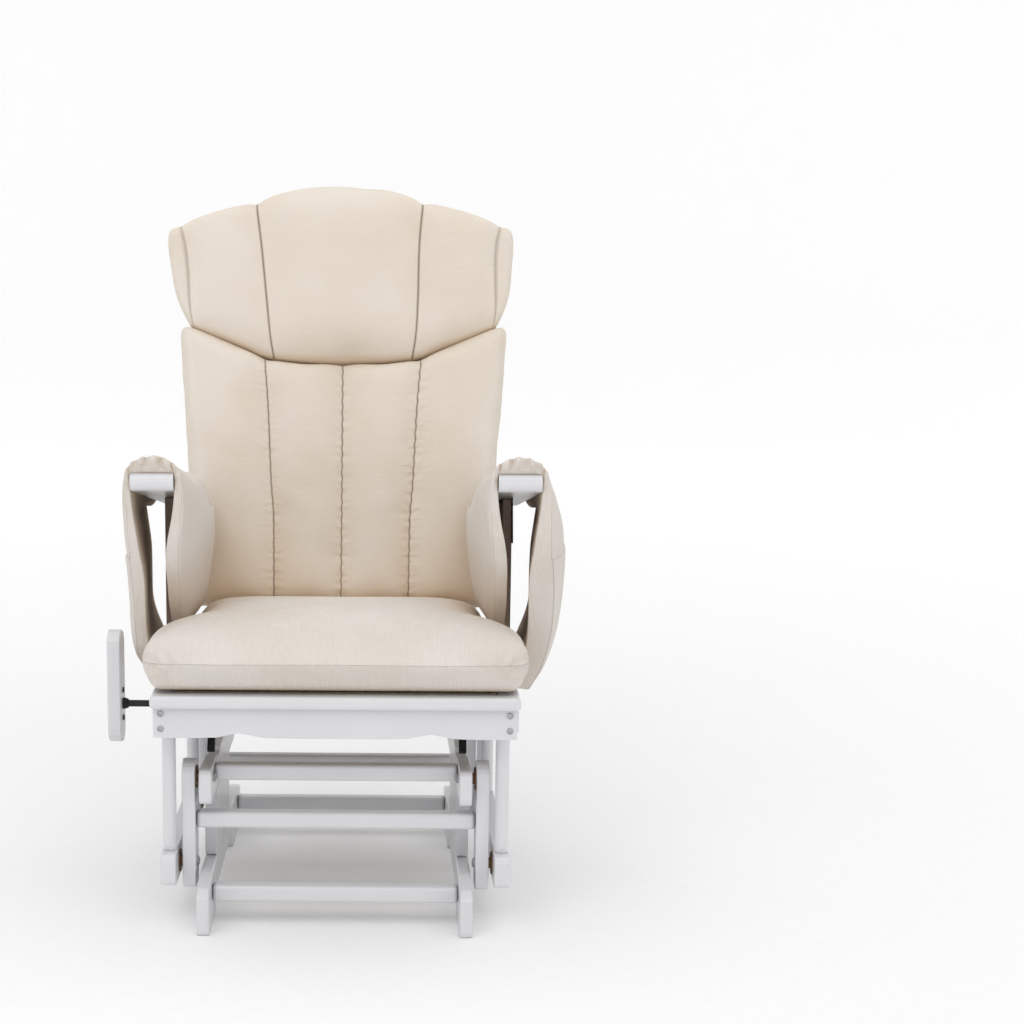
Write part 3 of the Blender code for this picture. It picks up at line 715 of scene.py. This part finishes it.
def stitch_pulls(pillow, lines):
    """Small tucks beside the sewn lines, deepest at the middle and right lines."""
    strengths = (0.45, 1.0, 0.9)
    deep, sideways = 0.0013, 0.0012
    points = points_of(pillow.obj.data)
    for i, (a, b, c) in enumerate(pillow.parameters()):
        if c > 0:
            continue
        for number, (line, strength) in enumerate(zip(lines, strengths)):
            beside = near(abs(a - line), 0.010, 0.010)
            tucks = wave(b, 0.0375, 2.0 * number) + 0.6 * wave(b, 0.083)
            points[i][1] += deep * strength * beside * tucks
            points[i][0] += sideways * strength * near(a, line, 0.006) * wave(b, 0.050)
    set_points(pillow.obj.data, points)


def make_seat_cushion(fabric):
    """A deep pad with ears in front of the arm pads; its cover is joined round its edge."""
    front, length = -0.287, 0.435
    underside = 0.3470
    half_width = curve([
        (-0.287, 0.247), (-0.281, 0.259), (-0.268, 0.2680), (-0.245, 0.2720), (-0.205, 0.2715),
        (-0.178, 0.2650), (-0.150, 0.2520), (-0.125, 0.2360), (-0.105, 0.2260),
        (-0.080, 0.2230), (0.130, 0.2260), (0.148, 0.2150),
    ])
    top = curve([
        (-0.290, 0.4225), (-0.200, 0.4255), (-0.100, 0.4225), (0.000, 0.4150), (0.100, 0.4080),
        (0.150, 0.4030),
    ])
    a_lines = knots((0.0, 4), (0.03, 9), (0.14, 50), (0.86, 9), (0.97, 4), (1.0, 0))
    b_lines = knots((0.0, 6), (0.05, 24), (0.45, 20), (0.97, 3), (1.0, 0))
    c_lines = knots((0.0, 7), (0.46, 2), (0.50, 2), (0.54, 7), (1.0, 0))

    def shape(a, b, c):
        y = front + length * b
        side, share = (-1 if a < 0.5 else 1), min(a, 1 - a)
        wide = half_width(y)
        x = wide * (1 - 2 * share)
        edge = min(share * 2 * wide, b * length, (1 - b) * length)
        high = top(y) - rounding(edge, 0.032) * 0.40
        low = underside + rounding(edge, 0.026) * 0.75
        joined = 0.3885 + 0.003 * share
        if c < 0.5:
            z = high + (joined - high) * 2 * c
        else:
            z = joined + (low - joined) * (2 * c - 1)
        off_seam = abs(2 * c - 1)
        inset = (0.006 if c < 0.5 else 0.007) * (1 - math.sqrt(1 - (0.97 * off_seam) ** 2))
        sides, ahead = 1 - smooth(share / 0.10), 1 - smooth(b / 0.09)
        x -= inset * sides
        y += inset * ahead
        y -= 0.010 * smooth((share - 0.03) / 0.15) * ahead * (1 - off_seam) * 0.6
        return Vector((side * x, y, z))

    pillow = Pillow("seat_cushion_cover", a_lines, b_lines, c_lines, shape, PLAN)

    def held(a, b, c):
        if c == 1.0:
            return 1.0
        return 0.9 if abs(c - 0.50) < SAME else 0.0

    def rim(a, b):
        return a in (0.0, 1.0) or b in (0.0, 1.0)

    # Painted shade weights: a dark line in the groove of the seam round the edge.
    def seam_shade(a, b, c):
        return 0.80 * near(c, 0.50, 0.022) if rim(a, b) else 0.0

    def pucker(a, b, c):
        corner = 0.25 + 0.75 * smooth(1 - min(a, 1 - a) / 0.14)
        return near(c, 0.50, 0.25) * corner if rim(a, b) else 0.0

    pillow.inflate(held, cap=0.018, grow=0.015, soften=6)
    gather(pillow)
    cover = pillow.finish(fabric, seam_shade, "cream_fabric", 0.8, pucker)
    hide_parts("seat_cushion")


def gather(pillow):
    """Short pleats that fan out from the edge seam round the seat cushion's front corners."""
    reach_a, reach_b, deep = 0.18, 0.14, 0.0052
    points = points_of(pillow.obj.data)
    for i, (a, b, c) in enumerate(pillow.parameters()):
        share = min(a, 1 - a)
        if b > reach_b or share > reach_a:
            continue
        fade = smooth(1 - share / reach_a) * smooth(1 - b / reach_b)
        fade = fade * near(c, 0.50, 0.30) * (1 - 0.8 * near(c, 0.50, 0.04))
        along = abs(points[i][0]) - points[i][1]
        pleats = wave(along, 0.020) + 0.5 * wave(along, 0.029, 1.0)
        outwards = np.array([0.35 * math.copysign(1.0, points[i][0]), -0.8, 0.0])
        points[i] += outwards * deep * fade * pleats
    set_points(pillow.obj.data, points)


NOSE_REACH = 0.14  # how far the gathers reach round the arm's nose, as a share of the section


def make_arm_pads(fabric):
    """Padded saddles over the arms, with a pocket on the outer side.

    Both paths are (x, z) of the right pad's section, from the inner panel's lower edge over the
    arm to the outer panel's lower edge.
    """
    outer_path = [
        (0.2380, 0.4040), (0.2335, 0.4400), (0.2270, 0.4850), (0.2170, 0.5450),
        (0.2120, 0.6150), (0.2150, 0.6500), (0.2290, 0.6690), (0.2545, 0.6765),
        (0.2800, 0.6690), (0.2935, 0.6500), (0.2965, 0.6200), (0.2950, 0.5600),
        (0.2935, 0.4900), (0.2930, 0.4060), (0.2930, 0.3500), (0.2850, 0.3130),
    ]
    lining_path = [
        (0.2560, 0.4060), (0.2535, 0.4400), (0.2475, 0.4850), (0.2370, 0.5450),
        (0.2260, 0.6050), (0.2235, 0.6380), (0.2240, 0.6500), (0.2545, 0.6512),
        (0.2850, 0.6500), (0.2858, 0.6380), (0.2840, 0.6100), (0.2760, 0.5500),
        (0.2700, 0.4900), (0.2700, 0.4060), (0.2690, 0.3500), (0.2690, 0.3150),
    ]
    steps = [math.dist(*pair) for pair in zip(outer_path, outer_path[1:])]
    lengths = np.concatenate([[0.0], np.cumsum(steps)])
    stations = lengths / lengths[-1]
    outer_x, outer_z = (curve(list(zip(stations, values))) for values in zip(*outer_path))
    lining_x, lining_z = (curve(list(zip(stations, values))) for values in zip(*lining_path))
    inner_end, top_at, outer_start = stations[5], stations[7], stations[9]
    pocket_at = stations[11] + (stations[12] - stations[11]) * 0.42
    slope = math.tan(math.radians(9.1))
    front, rear, middle_x, taper_z = -0.252, 0.113, 0.2545, 0.56
    length = rear - front
    a_lines = knots((0.0, 3), (0.02, 26), (inner_end, 40), (outer_start, 20),
                    (pocket_at - 0.004, 2), (pocket_at, 2), (pocket_at + 0.004, 24), (0.98, 3),
                    (1.0, 0))
    b_lines = knots((0.0, 5), (0.035, 38), (0.96, 4), (1.0, 0))
    c_lines = knots((0.0, 7), (1.0, 0))

    def held(a, b, c):
        if c >= 0.8:
            return 1.0
        return 0.6 if c == 0 and (a in (0.0, 1.0) or b in (0.0, 1.0)) else 0.0

    # Painted shade weights: a dark line in the pocket hem's groove and a darker front edge, where
    # shade falls.
    def seam_shade(a, b, c):
        hem_shade = 0.65 * near(a, pocket_at, 0.0030) if c == 0 else 0.0
        rim = 0.75 * near(c, 0.0, 0.09) if b == 0.0 and abs(a - top_at) > 0.10 else 0.0
        return max(hem_shade, rim)

    def pucker(a, b, c):
        nose = smooth(1 - abs(a - top_at) / NOSE_REACH) if b < 0.03 else 0.0
        return max(nose, 0.5 * near(a, pocket_at, 0.02) if c == 0 else 0.0)

    for side, sign, bulge in (("left", -1, -0.008), ("right", 1, 0.022)):

        def shape(a, b, c, sign=sign, bulge=bulge):
            x = outer_x(a) * (1 - c) + lining_x(a) * c
            z = outer_z(a) * (1 - c) + lining_z(a) * c
            low_inside = smooth((inner_end - a) / 0.2)
            lean = (0.62 + 0.45 * low_inside) * max(0.0, taper_z - z)
            lean *= smooth((0.60 - z) / 0.12)
            edge = min(b * length, (1 - b) * length)
            y = front + lean + (length - lean) * b
            above = z - taper_z
            y -= 0.012 * smooth(above / 0.11) ** 3 * smooth((b - 0.8) / 0.2)
            z -= slope * (y - front) * smooth(above / 0.07)
            z -= 0.010 * low_inside * smooth((0.50 - z) / 0.08) * smooth(b)
            z += max(0.0, -3.4 * bulge) * smooth((0.40 - z) / 0.08) * smooth(a)
            outwards = smooth((a - outer_start + 0.03) / 0.12)
            back_share = min(1.0, max(0.0, (y - front) / length))
            x += 0.034 * outwards * back_share ** 1.1 * smooth((z - 0.30) / 0.13)
            down = min(1.0, max(0.0, (a - outer_start) / (1 - outer_start)))
            swell = max(0.0, math.sin(math.pi * down ** 0.75))
            x += bulge * (1 - c) * swell * math.sin(math.pi * min(1.0, 0.12 + back_share * 0.85))
            x -= 0.018 * low_inside * smooth(back_share) * smooth((z - 0.375) / 0.045)
            rim = rounding(edge, 0.007) if c == 0 else 0.0
            off_top = smooth((abs(a - top_at) - 0.08) / 0.08)
            x += math.copysign(0.5, middle_x - x) * rim * off_top
            return Vector((sign * x, y, z))

        pillow = Pillow(f"arm_pad_{side}_cover", a_lines, b_lines, c_lines, shape, PLAN)
        pillow.inflate(held, cap=0.007, grow=0.008, pressure=3.0)
        finish_pad(pillow, sign, top_at, pocket_at)
        cover = pillow.finish(fabric, seam_shade, "cream_fabric", 0.7, pucker)
        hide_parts(f"arm_pad_{side}")


def finish_pad(pillow, sign, top_at, pocket_at):
    """Elastic gathers over the arm's nose, and the pocket's second layer."""
    pocket_layer = 0.0024
    points = points_of(pillow.obj.data)
    for i, (a, b, c) in enumerate(pillow.parameters()):
        over_nose = smooth(1 - abs(a - top_at) / NOSE_REACH)
        near_front = 1 - smooth(b / 0.09)
        if near_front * over_nose > 0:
            fold = wave(a, 0.023) + 0.55 * wave(a, 0.0135, 1.0)
            if b == 0:
                deep = 0.0060 * over_nose * fold
                points[i][1] += deep * math.sin(math.pi * min(1.0, c + 0.2))
                points[i][1] -= 0.004 * over_nose * math.sin(math.pi * c)
            if c == 0:
                points[i][2] -= 0.0016 * over_nose * near_front * (1 + fold)
        if a > pocket_at and c == 0:
            points[i][0] += sign * pocket_layer
    set_points(pillow.obj.data, points)


# ---------------------------------------------------------------- hardware


def lathe(name, profile, placements, material, body, sides=20):
    """Turned heads in one mesh; each placement is (location, direction that the head faces)."""
    matrices = []
    for location, direction in placements:
        turn = Vector(direction).to_track_quat("Z", "Y").to_matrix().to_4x4()
        matrices.append(Matrix.Translation(location) @ turn)
    mesh = lathe_mesh(name, profile, matrices, sides)
    mesh.shade_smooth()
    mesh.set_sharp_from_angle(angle=math.radians(35))
    return add_piece(name, mesh, material, body)


def add_piece(name, mesh, material, body):
    obj = bpy.data.objects.new(name, mesh)
    bpy.context.scene.collection.objects.link(obj)
    obj.data.materials.append(material)
    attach(obj, body)
    return obj


def rod(name, points, radius, material, body):
    """A bent round rod through points."""
    line = bpy.data.curves.new(name, "CURVE")
    line.dimensions = "3D"
    line.bevel_depth, line.bevel_resolution, line.use_fill_caps = radius, 4, True
    spline = line.splines.new("POLY")
    spline.points.add(len(points) - 1)
    for knot, point in zip(spline.points, points):
        knot.co = (*point, 1.0)
    made = bpy.data.objects.new(name, line)
    mesh = bpy.data.meshes.new_from_object(made)
    bpy.data.objects.remove(made)
    mesh.materials.clear()
    mesh.shade_smooth()
    mesh.name = name
    return add_piece(name, mesh, material, body)


# Profiles are (radius, height above the face that the head sits on).
BOLT_HEAD = [
    (0.0046, -0.001), (0.0046, 0.0008), (0.0040, 0.0016), (0.0026, 0.0019), (0.0024, 0.0006),
]
SCREW_HEAD = [
    (0.0022, -0.0005), (0.0022, 0.0004), (0.0015, 0.0010), (0.0009, 0.0010), (0.0008, 0.0003),
]
SIDES = (("left", -1), ("right", 1))


def make_hardware(finishes):
    steel, black = finishes["steel"], finishes["black_steel"]
    low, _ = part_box("apron")
    bolts = [
        (Vector((sign * 0.2440, low.y, z)), (0, -1, 0))
        for _, sign in SIDES
        for z in (0.3160, 0.2945)
    ]
    lathe("apron_bolt_heads", BOLT_HEAD, bolts, steel, "seat")
    low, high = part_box("lock_lever")
    middle = (low + high) / 2
    screws = [(Vector((high.x, middle.y, z)), (1, 0, 0)) for z in (0.314, 0.272)]
    lathe("lever_screws", BOLT_HEAD, screws, black, "lock")
    for side, sign in SIDES:
        make_hook(f"hook_rod_{side}", sign, 0.2410 if sign < 0 else 0.2560, black)
    for end, body in (("front", "front_links"), ("rear", "rear_links")):
        for level, rides_on, proud in (("upper", body, 0.0040), ("lower", "seat", 0.0030)):
            found = []
            for side, sign in SIDES:
                found += plate_screws(f"{level}_bearing_{end}_{side}", sign, proud)
            name = f"{level}_bearing_screws_{end}"
            lathe(name, SCREW_HEAD, found, steel, rides_on, sides=12)


def make_hook(name, sign, x, material):
    """A thin rod that hangs by its bent upper end beside the brown board."""
    y, foot, bend = -0.1000, 0.535, 0.6150

    def at(x_out, behind, z):
        return Vector((sign * x_out, y + behind + PLAN_TO_ORIGIN_Y, z))

    points = [at(x + 0.0016, 0.0, foot), at(x, 0.0, bend)]
    for t in (0.8, 1.6, 2.4):
        points.append(at(x, 0.010 * (1 - math.cos(t)), bend + 0.006 * math.sin(t)))
    rod(name, points, 0.0013, material, "seat")


def plate_screws(node, sign, proud):
    """Three screws round a bearing plate, on its face towards the chair's middle."""
    circle = 0.0122
    low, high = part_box(node)
    middle = (low + high) / 2
    face = (low.x if sign > 0 else high.x) + sign * proud
    screws = []
    for t in map(math.radians, (90, 210, 330)):
        y, z = middle.y + circle * math.cos(t), middle.z + circle * math.sin(t)
        screws.append((Vector((face, y, z)), (-sign, 0, 0)))
    return screws


# ---------------------------------------------------------------- the scene


make_camera()
make_studio()
FINISHES = dress_frame()
PLAIN = fabric_material("cream_fabric", (0.860, 0.775, 0.680), 0.0017, 0.0005)
RIBBED = fabric_material("cream_ribbed_fabric", (0.810, 0.755, 0.705), 0.0022, 0.0007)
make_head_cushion(PLAIN)
make_back_cushion(PLAIN)
make_seat_cushion(RIBBED)
make_arm_pads(RIBBED)
make_hardware(FINISHES)

bpy.context.scene.view_settings.view_transform = "Standard"
